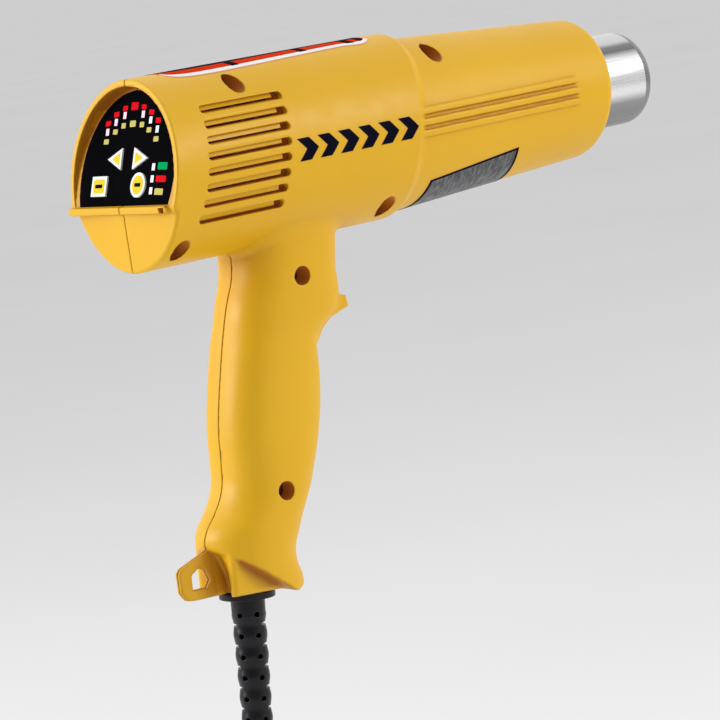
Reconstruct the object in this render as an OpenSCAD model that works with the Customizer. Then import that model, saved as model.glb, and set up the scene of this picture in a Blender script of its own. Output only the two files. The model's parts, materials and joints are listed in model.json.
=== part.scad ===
// Pistol-grip hot-air gun: clamshell housing, sloping key panel, fan, heater, nozzle and mains cord.
// Millimetres. +X runs forward along the barrel, +Z up, the joint plane of the two shells is Y = 0.
// The origin is the middle of the hand grip. Every module is drawn from the barrel axis by at_axis().

/* [Barrel] */
// radius of the rear drum
body_r = 33; // [28:0.5:40]
// housing wall thickness
wall = 2.5; // [1.5:0.1:4]
// front section radius at its rear end
front_r0 = 31; // [26:0.5:36]
// front section radius at its front end
front_r1 = 26; // [22:0.5:32]
// front end of the plastic housing
front_x = 170; // [150:1:190]
// rear face of the drum under the lip
rear_x = -37; // [-45:0.5:-30]
// lean of the rear rim and of the shoulder, run per unit height
rake = 0.21; // [0:0.01:0.3]

/* [Nozzle and heater] */
// outside radius of the nozzle tube
nozzle_r = 17.5; // [15:0.5:20]
// front end of the nozzle tube
nozzle_x = 200; // [185:1:215]
// nozzle sheet thickness
nozzle_t = 0.8; // [0.5:0.1:1.5]

/* [Key panel] */
// lean of the key panel from upright, degrees
panel_lean = 19; // [0:1:35]
// thickness of the panel plate
panel_t = 1.6; // [1:0.1:3]
// depth from the panel face to the circuit board
board_d = 6.1; // [4:0.1:8]
// how far a key stands proud of the panel
key_proud = 0.6; // [0.2:0.1:1.5]

/* [Vents] */
// slots on each side
vent_n = 8; // [4:1:10]
// height step from slot to slot
vent_pitch = 5.2; // [4:0.1:7]
// slot height
vent_h = 2.7; // [1.5:0.1:4]

/* [Handle] */
// half width of the grip
grip_b = 16.5; // [13:0.5:20]
// squareness of the grip section
grip_n = 2.5; // [2:0.1:4]

/* [Cord] */
// cord diameter
cord_d = 7; // [5:0.5:9]
// lean of the strain relief from upright, degrees
boot_lean = 5; // [0:1:20]
// length of the strain relief outside the housing
boot_len = 50; // [25:1:60]
// middle-turn radius of the tied coil
coil_r = 42; // [30:1:60]
// half thickness of the tied coil
coil_t = 10.5; // [6:0.5:14]

/* [Hidden] */
$fn = 64;
axis_x = -8;          // barrel frame against the grip centre
axis_z = 92;
panel_x = -36.6;      // foot of the panel face, on the joint plane
panel_z = -9.3;
boot_x = -10.4;       // where the strain relief leaves the housing
boot_z = -151;
coil_x = -36;         // where the cord joins its coil
coil_z = -284;
tail_len = 34;        // free end from the coil to the plug
vent_z = 19.7;
sleeve_r = nozzle_r - 0.3;   // the nozzle tube where it lies inside the housing
screw_xz = [[2.8, 26], [-29.5, -26.2], [61, -26.6], [92.3, 23.7], [21.5, -44.4], [1.5, -117]];
cord_route = [[-8.1, 0, -124.5], [-10.4, 0, -151], [-12.6, 0, -176], [-15, 0, -203], [-19, 0, -226],
              [-27, 0, -246], [-34, 0, -262], [-36, 0, -278], [coil_x, 0, coil_z]];

// ---------- helpers ----------
module at_axis() translate([axis_x, 0, axis_z]) children();
module at_panel() translate([panel_x, 0, panel_z]) rotate([0, panel_lean, 0]) children();
module at_boot() translate([boot_x, 0, boot_z]) rotate([0, boot_lean, 0]) children();
module xcyl(r, x0, x1) translate([x0, 0, 0]) rotate([0, 90, 0]) cylinder(r = r, h = x1 - x0);
module xcone(ra, rb, x0, x1) translate([x0, 0, 0]) rotate([0, 90, 0]) cylinder(r1 = ra, r2 = rb, h = x1 - x0);
module xtube(ro, ri, x0, x1) difference() { xcyl(ro, x0, x1); xcyl(ri, x0 - 1, x1 + 1); }
module ycyl(r, x, z, y0, y1) translate([x, y1, z]) rotate([90, 0, 0]) cylinder(r = r, h = y1 - y0);
// a profile drawn in X and Z, thick from y0 to y1
module slab(y0, y1) translate([0, y1, 0]) rotate([90, 0, 0]) linear_extrude(height = y1 - y0) children();
// a profile of [station, radius] turned about the barrel axis
module turned(pts) rotate([0, 90, 0]) rotate_extrude($fn = 96) polygon([for (p = pts) [p[1], p[0]]]);
module box(x0, x1, y0, y1, z0, z1) translate([x0, y0, z0]) cube([x1 - x0, y1 - y0, z1 - z0]);

function sgn(v) = v < 0 ? -1 : 1;
function oval(a, b, n, k) = [for (i = [0:k - 1]) let (t = 360 * i / k)
    [a * sgn(cos(t)) * pow(abs(cos(t)), 2 / n), b * sgn(sin(t)) * pow(abs(sin(t)), 2 / n)]];
function curve(p, m) = [for (i = [0:len(p) - 2]) for (j = [0:m - 1]) let (t = j / m,
    a = p[max(i - 1, 0)], b = p[i], c = p[i + 1], d = p[min(i + 2, len(p) - 1)])
    0.5 * (2 * b + (c - a) * t + (2 * a - 5 * b + 4 * c - d) * t * t + (3 * b - a - 3 * c + d) * t * t * t)];
function route(p, m) = concat(curve(p, m), [p[len(p) - 1]]);
function unit(v) = v / norm(v);
function tangent(p, i) = unit(p[min(i + 1, len(p) - 1)] - p[max(i - 1, 0)]);
// faces of a closed skin over n rings of s points
function skin_faces(n, s) = concat(
    [for (i = [0:n - 2]) for (k = [0:s - 1]) let (m = (k + 1) % s)
        [i * s + k, (i + 1) * s + k, (i + 1) * s + m]],
    [for (i = [0:n - 2]) for (k = [0:s - 1]) let (m = (k + 1) % s)
        [i * s + k, (i + 1) * s + m, i * s + m]],
    [[for (k = [0:s - 1]) k]],
    [[for (k = [0:s - 1]) n * s - 1 - k]]);
// a closed round tube along a route that never runs along Y
module tube(p, r, s) {
    n = len(p);
    pts = [for (i = [0:n - 1]) let (t = tangent(p, i), u = unit(cross([0, 1, 0], t)), v = cross(t, u))
        for (k = [0:s - 1]) p[i] + r * (cos(360 * k / s) * u + sin(360 * k / s) * v)];
    polyhedron(points = pts, faces = skin_faces(n, s), convexity = 10);
}

// ---------- housing ----------
module drum_profile() polygon([[-27.8, 36], [-36.95, -9.3], [-39.3, -10.2], [-39.3, -11.8], [-37.3, -12.9],
    [rear_x + 0.2, -36], [73 - rake * 31, -36], [73 + rake * 31, 36]]);
module barrel_out() {
    intersection() { xcyl(body_r, -42, 90); slab(-40, 40) drum_profile(); }
    turned([[40, 0], [40, front_r0], [76, front_r0], [front_x - 5, front_r1], [front_x - 2.2, front_r1 - 0.9],
        [front_x - 0.7, front_r1 - 2.6], [front_x, front_r1 - 4.8], [front_x, 0]]);
    // three raised lines on each side
    intersection() {
        difference() {
            xcone(front_r0 + 0.8, front_r1 + 0.8, 76, 165);
            xcone(front_r0 - 1, front_r1 - 1, 75, 166);
        }
        for (z = [4.8, 0.9, -3]) box(76, 152, -40, 40, z - 1, z + 1);
    }
}
// grip stations: x of the middle, height, half depth, half width, forward tilt of the section
grip_stations = [[-9, -140, 20.6, 1, 30], [-4.6, -128, 19.2, 0.4, 24], [1.6, -116, 18, 0, 12],
    [5.5, -104, 18.4, 0, 3], [11.1, -80, 19.6, 0, 0], [14.3, -66, 19, 0, 0], [20.4, -56, 22.4, 0, 0],
    [23.2, -44, 20.4, 0, 0], [25.3, -24, 20.6, 0, 0]];
module grip_out() {
    k = 28;
    pts = [for (g = grip_stations) for (p = oval(g[2], grip_b + g[3], grip_n, k))
        [g[0] + p[0] * cos(g[4]), p[1], g[1] - p[0] * sin(g[4])]];
    polyhedron(points = pts, faces = skin_faces(len(grip_stations), k), convexity = 6);
}
module foot_out() {
    slab(-11.5, 11.5) polygon([[-22.5, -130], [-23.4, -149.8], [-1, -151.8], [3, -149], [4, -132],
        [-10, -126]]);
    // finger rest under the drum
    slab(-9, 9) polygon([[30, -50], [40, -54.4], [45.4, -55.8], [45.8, -60], [37.2, -62.6], [33.2, -65.6],
        [26, -70]]);
    // hanging loop
    difference() {
        slab(-2, 2) polygon([[-18, -131], [-23.5, -132.5], [-36.6, -136.6], [-38.3, -138.6], [-38.3, -145.6],
            [-36.4, -148.4], [-34, -149], [-18, -150]]);
        slab(-4, 4) polygon([[-32.2, -139.8], [-28.8, -138.2], [-26, -141], [-26, -145.6], [-32.2, -145.2]]);
    }
}
module barrel_in() {
    intersection() {
        xcyl(body_r - wall, -36, 66);
        slab(-40, 40) polygon([[-16.2, 32], [-30.2, -9.3], [-31, -12.5], [-34.4, -12.5], [-34.4, -34],
            [66, -34], [66, 32]]);
    }
    xcone(front_r0 - wall, front_r1 - wall + 0.4, 65, 158);
    xcyl(22, 157, front_x - 3.5);
    xcyl(nozzle_r + 0.6, front_x - 5, front_x + 1);
    // recess over the panel, seat of the panel plate and the way through it
    intersection() {
        xcyl(30.7, -60, 0);
        slab(-40, 40) polygon([[panel_x, panel_z], [panel_x + 40 * tan(panel_lean), 30.7], [-60, 30.7],
            [-60, panel_z]]);
    }
    intersection() { xcyl(28.5, -60, 0); at_panel() box(-1, panel_t, -40, 40, 0, 60); }
    intersection() { xcyl(26.4, -60, 0); at_panel() box(0, board_d + 2, -40, 40, 1.5, 60); }
}
module grip_in() {
    slab(-8, 8) polygon([[6, -24], [5.8, -44], [-0.3, -60], [-5.4, -80], [-9.6, -104], [-12.6, -116],
        [-21, -128.5], [5, -142], [10, -128], [16.5, -116], [20.6, -104], [28, -80], [33, -60], [38.6, -44],
        [39.5, -24]]);
    slab(-12, 12) polygon([[11, -26], [10.5, -44], [4.5, -60], [-1, -80], [-5, -104], [-8, -116],
        [-12, -126], [3, -134], [6, -126], [12, -116], [16, -104], [23.5, -80], [28, -60], [35.5, -44],
        [38, -26]]);
}
module boot_seat() at_boot() {
    translate([0, 0, -1]) cylinder(r = 6.2, h = 9.6);
    translate([0, 0, 4]) cylinder(r = 8.2, h = 4);
}
module vents() for (k = [0:vent_n - 1]) let (z = vent_z - k * vent_pitch, h = vent_h / 2,
        xa = -17.3 - 0.232 * (vent_z - z), xb = 17.4 - 0.2 * (vent_z - z))
    slab(-40, 40) polygon([[xa, z], [xa + 0.9, z + h], [xb - 0.9, z + h], [xb, z], [xb - 0.9, z - h],
        [xa + 0.9, z - h]]);
module bosses() {
    intersection() {
        for (i = [0:2]) ycyl(4.6, screw_xz[i][0], screw_xz[i][1], -34, 34);
        xcyl(32, -36.2, 90);
    }
    intersection() {
        ycyl(4.6, screw_xz[3][0], screw_xz[3][1], -34, 34);
        xcyl(28.9, 80, 110);
    }
    for (i = [4, 5]) ycyl(4.6, screw_xz[i][0], screw_xz[i][1], -14, 14);
    // posts under the power board
    for (s = [[20, -62], [7, -98]]) ycyl(2.6, s[0], s[1], 6.6, 14);
    // rib behind the vents and stop rib in front of the fan duct
    xtube(31.5, 27.5, -2.5, -0.5);
    difference() { xtube(31.5, 28, 16, 18); box(10, 20, -14, 14, -40, 0); }
    // cord saddle
    box(-15, 3, 4, 10.5, -134, -127);
}
module housing() difference() {
    union() {
        difference() {
            union() { barrel_out(); grip_out(); foot_out(); }
            barrel_in();
            grip_in();
            slab(-9, 9) polygon([[-18, -128], [-17, -133], [-14, -143.6], [-3, -144.6], [3, -140],
                [2, -130]]);
            vents();
        }
        bosses();
    }
    boot_seat();
    at_boot() cylinder(r = cord_d / 2 + 0.1, h = 30);
}
module shell_right() color("gold") at_axis() difference() {
    intersection() { housing(); box(-60, 220, -60, 0, -170, 60); }
    for (s = screw_xz) {
        ycyl(1.6, s[0], s[1], -20, 1);
        ycyl(3.3, s[0], s[1], -60, -8);
    }
}
module shell_left() color("gold") at_axis() difference() {
    intersection() { housing(); box(-60, 220, 0, 60, -170, 60); }
    for (s = screw_xz) ycyl(1.5, s[0], s[1], -1, 9);
}
module housing_screws() color("dimgray") at_axis() for (s = screw_xz) difference() {
    union() { ycyl(1.5, s[0], s[1], -8.5, 8); ycyl(2.9, s[0], s[1], -10.2, -8); }
    for (a = [0, 90]) translate([s[0], -10.2, s[1]]) rotate([0, a, 0]) box(-1.7, 1.7, -0.1, 1.2, -0.35, 0.35);
}

// ---------- key panel ----------
led_arc = [[15.2, 26.1], [10.6, 29.4], [5.6, 31.6], [-5.6, 31.6], [-10.6, 29.4], [-15.2, 26.1]];
led_col = [[-15.7, 13.1], [-15.7, 9], [-15.7, 4.9]];
module arrow(s, g) polygon([
    [s * (12.1 + g * 2), 16.3], [s * (3.6 - g), 20.1 + g * 2], [s * (3.6 - g), 12.5 - g * 2]]);
module pad_square(g) translate([15.6, 7]) square([9 + 2 * g, 7 + 2 * g], center = true);
module pad_round(g) translate([-8.2, 7]) circle(r = 4.3 + g, $fn = 48);
// a key outline drawn in Y and height, deep from d0 to d1
module key(d0, d1) at_panel() rotate([90, 0, 90]) translate([0, 0, d0])
    linear_extrude(height = d1 - d0) children();
module key_holes(gap) {
    key(-2, panel_t + 1) arrow(1, gap);
    key(-2, panel_t + 1) arrow(-1, gap);
    key(-2, panel_t + 1) pad_square(gap);
    key(-2, panel_t + 1) pad_round(gap);
}
// lamps at [y, height], from one depth to another and a little larger by gap
module lamps(spots, d0, d1, gap) for (p = spots) at_panel()
    box(d0, d1, p[0] - 0.9 - gap, p[0] + 0.9 + gap, p[1] - 1.2 - gap, p[1] + 1.2 + gap);
module control_panel() color("black") at_axis() difference() {
    intersection() { xcyl(28.4, -60, 0); at_panel() box(0, panel_t, -40, 40, 0.05, 60); }
    key_holes(0.15);
    lamps(concat(led_arc, led_col), -1, panel_t + 1, 0.05);
}
module stem(y, z) at_panel() translate([panel_t + 0.5, y, z]) rotate([0, 90, 0])
    cylinder(r = 1.4, h = 0.8, $fn = 32);
// a key: its face through the panel and a wider flange behind it
module face() key(-key_proud, panel_t + 0.9) children();
module flange() key(panel_t + 0.1, panel_t + 0.9) children();
module button_up() color("khaki") at_axis() {
    face() arrow(-1, 0);
    flange() arrow(-1, 0.5);
    stem(-6, 16.3);
}
module button_down() color("khaki") at_axis() {
    face() arrow(1, 0);
    flange() arrow(1, 0.5);
    stem(6, 16.3);
}
module button_mode() color("khaki") at_axis() {
    face() pad_square(0);
    flange() pad_square(0.6);
    stem(15.6, 7);
}
module button_power() color("khaki") at_axis() {
    face() pad_round(0);
    flange() pad_round(0.6);
    stem(-8.2, 7);
}
key_spots = [[-6, 16.3], [6, 16.3], [15.6, 7], [-8.2, 7]];
module control_board() color("darkgreen") at_axis() intersection() {
    xcyl(29.3, -60, 20);
    at_panel() box(board_d, board_d + 1.6, -40, 40, 0.5, 39.5);
}
module tact_switches() color("silver") at_axis() for (p = key_spots) at_panel() {
    box(board_d - 2, board_d, p[0] - 2.6, p[0] + 2.6, p[1] - 2.6, p[1] + 2.6);
    translate([board_d - 2.6, p[0], p[1]]) rotate([0, 90, 0]) cylinder(r = 1.3, h = 0.9, $fn = 32);
}
module arc_leds() color("pink") at_axis() lamps(led_arc, 0, board_d, 0);
module status_leds() color("lightblue") at_axis() lamps(led_col, 0, board_d, 0);
// controller chip and the ribbon's plug
module control_chip() color("black") at_axis() at_panel() {
    box(board_d + 1.6, board_d + 3.2, -6, 6, 14, 22);
    box(board_d + 1.6, board_d + 7, -5, 5, 2, 8);
}

// ---------- fan and motor ----------
module fan_duct() color("dimgray") at_axis() {
    turned([[18, 27], [18, 30.2], [20, 30.2], [20, 28.6], [34, 28.6], [44, 22.3], [82, 22.3], [82, 20.5],
        [44, 20.5], [34, 27]]);
    difference() {
        xcyl(16.2, 36, 52);
        xcyl(14, 38, 53);
        xcyl(5, 35, 39);
        for (y = [-8, 8]) translate([0, y, 0]) xcyl(1.6, 35, 39);
    }
    for (a = [36:72:359]) rotate([a, 0, 0]) box(45, 50.5, -0.9, 0.9, 15.4, 21.3);
}
module fan_impeller() color("ivory") at_axis() difference() {
    union() {
        xcyl(8.5, 21, 33);
        for (k = [0:8]) rotate([k * 40, 0, 0]) intersection() {
            translate([27, 0, 17]) rotate([0, 0, 38]) cube([17, 1.5, 18], center = true);
            xcyl(25.9, 21, 33);
        }
    }
    xcyl(1.6, 20, 34);
    xcyl(6.8, 30, 34);
}
module motor_rotor() color("silver") at_axis() {
    xcyl(1.6, 22, 72.5);
    xcyl(9.4, 43, 62);
    xcyl(4, 63, 66.5);
}
module motor_can() color("lightgray") at_axis() difference() {
    union() { xcyl(14, 38, 68); xcyl(4.6, 35.8, 38.5); }
    xcyl(13, 39.2, 69);
    xcyl(3, 35, 40);
    for (y = [-8, 8]) translate([0, y, 0]) xcyl(1.2, 35, 40);
}
module motor_magnets() color("dimgray") at_axis() difference() {
    xtube(13, 10.2, 42, 64);
    for (a = [-1, 1]) box(40, 66, -4, 4, a * 11 - 4, a * 11 + 4);
}
module motor_bushes() color("goldenrod") at_axis() { xtube(3, 1.65, 36, 40.5); xtube(3, 1.65, 69, 73); }
module motor_end_cap() color("black") at_axis() difference() {
    union() { xcyl(14, 68, 71); xcyl(5, 70, 74); xcyl(12.9, 66.8, 69); }
    xcyl(3, 66, 75);
    xcyl(11.5, 66, 68.6);
}
module motor_screws() color("silver") at_axis() for (y = [-8, 8]) translate([0, y, 0]) {
    xcyl(1.2, 35, 41);
    xcyl(2.6, 34.4, 36);
}
module rectifier_board() color("darkgreen") at_axis() {
    xtube(11, 5.1, 71, 72.2);
    for (y = [-8, 8]) for (z = [-3.4, 3.4]) box(72.2, 74.6, y - 1.6, y + 1.6, z - 2.5, z + 2.5);
}

// ---------- heater and nozzle ----------
// the three screw places round the nozzle flange
module flange_spots() for (a = [30, 150, 270]) rotate([a, 0, 0]) translate([0, 0, 19.7]) children();
module nozzle_tube() color("silver") at_axis() difference() {
    turned([[83.5, nozzle_r - nozzle_t], [83.5, 22], [84.7, 22], [84.7, sleeve_r], [front_x + 1, sleeve_r],
        [front_x + 1, nozzle_r], [nozzle_x - 4, nozzle_r], [nozzle_x - 1.6, nozzle_r - 0.8],
        [nozzle_x - 0.4, nozzle_r - 2.1], [nozzle_x, nozzle_r - 3.6], [nozzle_x - 0.6, nozzle_r - 4.2],
        [nozzle_x - 1.8, nozzle_r - 3], [nozzle_x - 4, nozzle_r - nozzle_t]]);
    flange_spots() xcyl(1.2, 82, 90);
}
module nozzle_spacer() color("tan") at_axis() xtube(21.95, sleeve_r, 158, front_x - 3.5);
module heater_base() color("tan") at_axis() difference() {
    union() { xtube(21.9, 16, 82, 83.5); box(82, 83.5, -17, 17, -2, 2); box(82, 83.5, -2, 2, -17, 17); }
    flange_spots() xcyl(1.2, 80, 90);
}
module heater_screws() color("silver") at_axis() flange_spots() {
    xcyl(1.2, 82, 85);
    xcyl(2, 84.7, 86.2);
}
module mica_sleeve() color("wheat") at_axis()
    xtube(nozzle_r - nozzle_t - 0.1, nozzle_r - nozzle_t - 0.7, 83.5, 188);
module heater_former() color("wheat") at_axis() {
    box(83.5, 186, -15.9, 15.9, -0.6, 0.6);
    box(83.5, 186, -0.6, 0.6, -15.9, 15.9);
}
function helix(y, z, h, x0, x1, n, m) = [for (i = [0:n * m]) let (a = 360 * i / m)
    [x0 + (x1 - x0) * i / (n * m), y + h * cos(a), z + h * sin(a)]];
module wire(p, r, s) {
    pts = [for (i = [0:len(p) - 1]) let (t = tangent(p, i), u = unit(cross([1, 0, 0], t)), v = cross(t, u))
        for (k = [0:s - 1]) p[i] + r * (cos(360 * k / s) * u + sin(360 * k / s) * v)];
    polyhedron(points = pts, faces = skin_faces(len(p), s), convexity = 10);
}
module heating_coils() color("orangered") at_axis() for (y = [-6.7, 6.7]) for (z = [-6.7, 6.7])
    wire(helix(y, z, 5.6, 88, 166, 9, 8), 0.6, 4);
module thermal_cutout() color("white") at_axis() translate([0, 2.7, 7]) {
    xcyl(2.1, 170, 181);
    xcyl(0.5, 167, 184);
}
module outlet_sensor() color("darkgray") at_axis() translate([0, -1.6, -7]) xcyl(1, 168, 184);

// ---------- electrics in the grip ----------
module power_board() color("darkgreen") at_axis() slab(5, 6.6)
    polygon([[9, -55], [27, -55], [16, -105], [-3, -105]]);
module heat_sink() color("silver") at_axis() {
    slab(-7, 5) polygon([[3.5, -76], [5.2, -76], [11.5, -57], [9.8, -57]]);
    slab(-7, -5.4) polygon([[5, -76], [17, -76], [21, -57], [11, -57]]);
}
module triac() color("black") at_axis() slab(-4, 5)
    polygon([[5.56, -75], [9.56, -75], [14.56, -60], [10.56, -60]]);
module filter_capacitor() color("gold") at_axis() box(1, 13, -6, 5, -92, -82);
module choke_ring() color("brown") at_axis() translate([19.2, 2.8, -88]) rotate([90, 0, 0])
    rotate_extrude($fn = 48) translate([3.2, 0]) circle(r = 2.2, $fn = 24);
module terminal_block() color("royalblue") at_axis() box(1, 13, -5, 5, -103, -95);
module mains_leads() color("black") at_axis() for (y = [-1.8, 1.8])
    tube(route([[-8.1, y, -124], [-8.4, y, -119], [-6.5, y, -112], [-2, y, -108], [5 + y, y, -106.4],
        [7 + y, y, -103.3]], 3), 1.1, 8);
module control_ribbon() color("lightgray") at_axis() slab(-3, 5) polygon([
    [-21.5, -6], [-20.6, -6], [-18, -20], [-8, -24], [0.5, -25], [7, -28], [12, -34], [12.2, -45], [11, -56],
    [10, -56], [11.2, -45], [11, -34.6], [6.4, -29], [0.2, -26], [-8.3, -25], [-18.8, -20.7]]);
module heater_leads() color("white") at_axis() for (y = [-10.5, 10.5])
    tube(route([[25, y * 0.3, -57], [29.5, y * 0.6, -50], [30, y * 0.85, -42], [30.5, y, -34],
        [33.5, y, -29.5], [37, y, -27], [43, y, -22.9], [53, y, -20.9], [70, y, -20.9],
        [78, y, -20.9], [82.7, y, -20.2]], 2), 0.9, 8);
module cord_clamp() color("dimgray") at_axis() difference() {
    box(-14.5, 2.5, -7.9, 4, -133.6, -127.6);
    translate([-8.6, 0, -131]) rotate([0, boot_lean, 0]) cylinder(r = cord_d / 2, h = 30, center = true);
}

// ---------- cord ----------
module strain_relief() color("black") at_axis() at_boot() difference() {
    union() {
        translate([0, 0, -2.6]) cylinder(r = 10, h = 2.6);
        cylinder(r = 6.1, h = 8);
        translate([0, 0, 4.1]) cylinder(r = 8.1, h = 3.8);
        translate([0, 0, -boot_len]) cylinder(r1 = 4.7, r2 = 6, h = boot_len);
    }
    translate([0, 0, -boot_len - 1]) cylinder(r = cord_d / 2, h = boot_len + 12);
    for (k = [0:4]) for (s = [-1, 1]) {
        translate([0, 0, -10 - k * 7.6]) box(s > 0 ? 4.3 : -10, s > 0 ? 10 : -4.3, -10, 10, -1.4, 1.4);
        translate([0, 0, -13.8 - k * 7.6]) box(-10, 10, s > 0 ? 4.3 : -10, s > 0 ? 10 : -4.3, -1.4, 1.4);
    }
}
module power_cord() color("black") at_axis() tube(route(cord_route, 3), cord_d / 2, 12);
module at_coil() translate([coil_x, 0, coil_z]) children();
module cord_coil() color("black") at_axis() at_coil() {
    translate([coil_r, 0, 0]) rotate([90, 0, 0])
        rotate_extrude($fn = 72) translate([coil_r, 0]) circle(r = coil_t, $fn = 24);
    translate([-cord_d, 0, -tail_len]) cylinder(r = cord_d / 2, h = tail_len);
}
module cord_tie() color("dimgray") at_axis() at_coil() difference() {
    translate([0, 0, -3]) cylinder(r = coil_t + 1.6, h = 6);
    translate([0, 0, -4]) cylinder(r = coil_t + 0.1, h = 8);
}
module at_plug() at_coil() translate([-cord_d, 0, -tail_len]) children();
module plug_body() color("black") at_axis() at_plug() {
    translate([0, 0, -12]) cylinder(r1 = 6, r2 = 4.6, h = 12);
    translate([-11, -8, -38]) cube([22, 16, 27]);
}
module plug_blades() color("goldenrod") at_axis() at_plug() {
    translate([-7.1, -3.2, -55]) cube([1.5, 6.4, 17]);
    translate([5.6, -4, -55]) cube([1.5, 8, 17]);
}

// ---------- labels ----------
module top_label() color("red") at_axis() intersection() {
    xtube(body_r + 0.3, body_r, -14, 70);
    rotate([90, 0, 90]) linear_extrude(height = 200, center = true)
        polygon([[0, 0], [20, 44], [-20, 44]]);
}
module data_label() color("dimgray") at_axis() intersection() {
    difference() { xcone(front_r0 + 0.3, front_r1 + 0.3, 76, 165); xcone(front_r0, front_r1, 76, 165); }
    box(80, 122, -40, 0, -40, 0);
    rotate([90, 0, 90]) linear_extrude(height = 400, center = true)
        polygon([[0, 0], [-44, -28], [-20, -60], [0, -60]]);
}

shell_right();
shell_left();
housing_screws();
control_panel();
button_up();
button_down();
button_mode();
button_power();
control_board();
tact_switches();
arc_leds();
status_leds();
control_chip();
fan_duct();
fan_impeller();
motor_rotor();
motor_can();
motor_magnets();
motor_bushes();
motor_end_cap();
motor_screws();
rectifier_board();
nozzle_tube();
nozzle_spacer();
heater_base();
heater_screws();
mica_sleeve();
heater_former();
heating_coils();
thermal_cutout();
outlet_sensor();
power_board();
heat_sink();
triac();
filter_capacitor();
choke_ring();
terminal_block();
mains_leads();
control_ribbon();
heater_leads();
cord_clamp();
strain_relief();
power_cord();
cord_coil();
cord_tie();
plug_body();
plug_blades();
top_label();
data_label();
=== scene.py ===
"""Looks of a pistol-grip hot-air gun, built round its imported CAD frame.

The object is in metres, +X forward along the barrel, +Z up, with the origin in the hand grip.
Shapes here are written in millimetres from the barrel axis, and to_row() takes them to the row frame.
"""
import json
import math
from concurrent.futures import ThreadPoolExecutor
from functools import reduce

import bpy
import numpy as np
from mathutils import Matrix, Vector


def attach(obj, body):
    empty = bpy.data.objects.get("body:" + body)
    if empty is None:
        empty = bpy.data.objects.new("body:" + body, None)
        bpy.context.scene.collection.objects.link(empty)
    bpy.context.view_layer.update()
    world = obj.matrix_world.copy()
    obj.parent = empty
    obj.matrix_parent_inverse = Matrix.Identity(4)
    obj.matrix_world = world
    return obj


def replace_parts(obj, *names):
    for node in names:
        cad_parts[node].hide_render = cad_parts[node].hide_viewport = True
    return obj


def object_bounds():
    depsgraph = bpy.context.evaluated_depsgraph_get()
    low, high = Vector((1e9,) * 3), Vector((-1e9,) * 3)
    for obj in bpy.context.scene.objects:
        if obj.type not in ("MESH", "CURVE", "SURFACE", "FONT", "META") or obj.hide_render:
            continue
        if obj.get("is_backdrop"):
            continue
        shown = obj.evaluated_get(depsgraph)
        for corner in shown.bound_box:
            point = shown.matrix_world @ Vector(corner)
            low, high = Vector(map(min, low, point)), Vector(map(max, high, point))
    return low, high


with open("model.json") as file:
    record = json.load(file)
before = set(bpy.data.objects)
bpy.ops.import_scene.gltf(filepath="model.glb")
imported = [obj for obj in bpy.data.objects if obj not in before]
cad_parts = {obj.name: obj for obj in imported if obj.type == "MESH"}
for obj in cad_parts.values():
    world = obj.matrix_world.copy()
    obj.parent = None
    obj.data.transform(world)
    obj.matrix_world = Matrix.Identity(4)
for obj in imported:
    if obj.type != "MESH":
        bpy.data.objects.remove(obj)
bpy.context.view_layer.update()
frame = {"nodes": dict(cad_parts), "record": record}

MM = 0.001
AXIS_X, AXIS_Z = -8.0, 92.0  # the barrel frame's place in the row frame


def to_row(points):
    """Barrel-frame millimetres to row-frame metres."""
    return (np.asarray(points, float) + (AXIS_X, 0.0, AXIS_Z)) * MM


def spot(x, y, z):
    return Vector(to_row((x, y, z)))


def placed(name, data):
    """A new object in the scene."""
    thing = bpy.data.objects.new(name, data)
    bpy.context.scene.collection.objects.link(thing)
    return thing


# -------- camera
VIEW_TURN, VIEW_DROP, VIEW_ROLL = map(math.radians, (52.93, 7.82, 8.5))
CAMERA_AT = Vector((-0.6655, -0.9418, 0.1727))


def make_camera():
    ahead = Vector((math.cos(VIEW_TURN) * math.cos(VIEW_DROP),
                    math.sin(VIEW_TURN) * math.cos(VIEW_DROP), -math.sin(VIEW_DROP)))
    right = Vector((math.sin(VIEW_TURN), -math.cos(VIEW_TURN), 0))
    up = right.cross(ahead)
    side = math.cos(VIEW_ROLL) * right - math.sin(VIEW_ROLL) * up
    top = math.sin(VIEW_ROLL) * right + math.cos(VIEW_ROLL) * up
    lens = bpy.data.cameras.new("camera")
    lens.lens = 165
    lens.sensor_width = 36
    lens.clip_end = 100
    camera = placed("camera", lens)
    camera.matrix_world = Matrix.Translation(CAMERA_AT) @ Matrix((side, top, -ahead)).transposed().to_4x4()
    bpy.context.scene.camera = camera


make_camera()


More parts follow.
